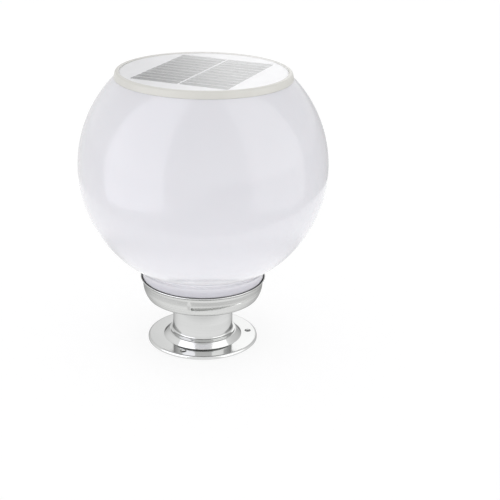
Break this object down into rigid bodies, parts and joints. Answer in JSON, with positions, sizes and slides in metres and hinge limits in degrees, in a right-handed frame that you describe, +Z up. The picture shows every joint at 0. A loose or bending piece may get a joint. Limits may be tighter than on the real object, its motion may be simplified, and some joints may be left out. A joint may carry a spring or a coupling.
{
  "type": "solar fence light",
  "caption": "Globe-shaped solar post light: opal globe with a solar cap, twist-locked into a steel collar on a stem with a screw-down flange.",
  "frame": {"origin": "centre of the underside of the mounting gasket, which is the face the light rests on", "axes": "+Z up through the globe's axis; +X along the short side of the solar panel, across its cell columns"},
  "size_m": [0.2, 0.2, 0.2291],
  "materials": {
    "opal_plastic": "glossy translucent moulding",
    "ivory_plastic": "satin moulded",
    "clear_cover": "polished clear",
    "panel_white": "smooth white board",
    "solar_cell": "dark silicon with fine printed fingers",
    "brushed_steel": "brushed round the axis",
    "polished_steel": "polished",
    "fastener_steel": "plain stainless",
    "dark_rubber": "matt",
    "foam": "closed-cell foam",
    "white_plastic": "moulded",
    "black_plastic": "moulded",
    "green_board": "solder mask",
    "white_board": "white solder mask",
    "led_package": "white package with yellow phosphor",
    "battery_sleeve": "shrink sleeve",
    "nickel": "nickel-plated strip",
    "component_dark": "moulded components",
    "wire_red": "insulation",
    "wire_black": "insulation"
  },
  "bodies": {
    "base": {"mount_gasket": "foam", "base_flange": "polished_steel", "stem_tube": "polished_steel", "collar_cup": "brushed_steel", "seat_gasket": "dark_rubber", "centre_bolt": "fastener_steel", "bolt_washer": "fastener_steel", "lock_nut": "fastener_steel"},
    "neck_seal": {"neck_seal_ring": "dark_rubber"},
    "globe": {"globe_shell": "opal_plastic", "cap_seal": "dark_rubber", "cap_tray": "white_plastic", "cap_ring": "ivory_plastic", "panel_backing": "panel_white", "cell_column_left": "solar_cell", "cell_column_right": "solar_cell", "panel_window": "clear_cover", "engine_plate": "white_plastic", "engine_seal": "dark_rubber", "engine_screws": "fastener_steel", "battery_door": "white_plastic", "battery_door_seal": "dark_rubber", "battery_door_screws": "fastener_steel", "battery_cell": "battery_sleeve", "contact_plate": "nickel", "contact_spring": "nickel", "controller_board": "green_board", "controller_parts": "component_dark", "controller_screws": "fastener_steel", "reflector_plate": "white_plastic", "led_board": "white_board", "led_screws": "fastener_steel", "leds": "led_package", "switch_body": "black_plastic", "switch_seal": "dark_rubber", "switch_nut": "black_plastic", "panel_wire_red": "wire_red", "panel_wire_black": "wire_black", "wire_clips": "white_plastic", "battery_leads": "wire_red", "led_leads": "wire_red", "switch_leads": "wire_black"},
    "switch_button": {"switch_button": "black_plastic"}
  },
  "joints": [
    {"name": "globe_rise", "type": "slide", "parent": "base", "child": "neck_seal", "axis": [0, 0, 1], "range_m": [0, 0.0024]},
    {"name": "globe_turn", "type": "hinge", "parent": "neck_seal", "child": "globe", "pos_m": [0, 0, 0.0558], "axis": [0, 0, 1], "range_deg": [0, 60]},
    {"name": "switch_press", "type": "slide", "parent": "globe", "child": "switch_button", "axis": [0, 0, 1], "range_m": [0, 0.002], "stiffness_N_per_m": 300, "springref_m": -0.002}
  ],
  "couplings": [
    {"joint": "globe_rise", "follows": "globe_turn", "m_per_rad": 0.0022918}
  ]
}
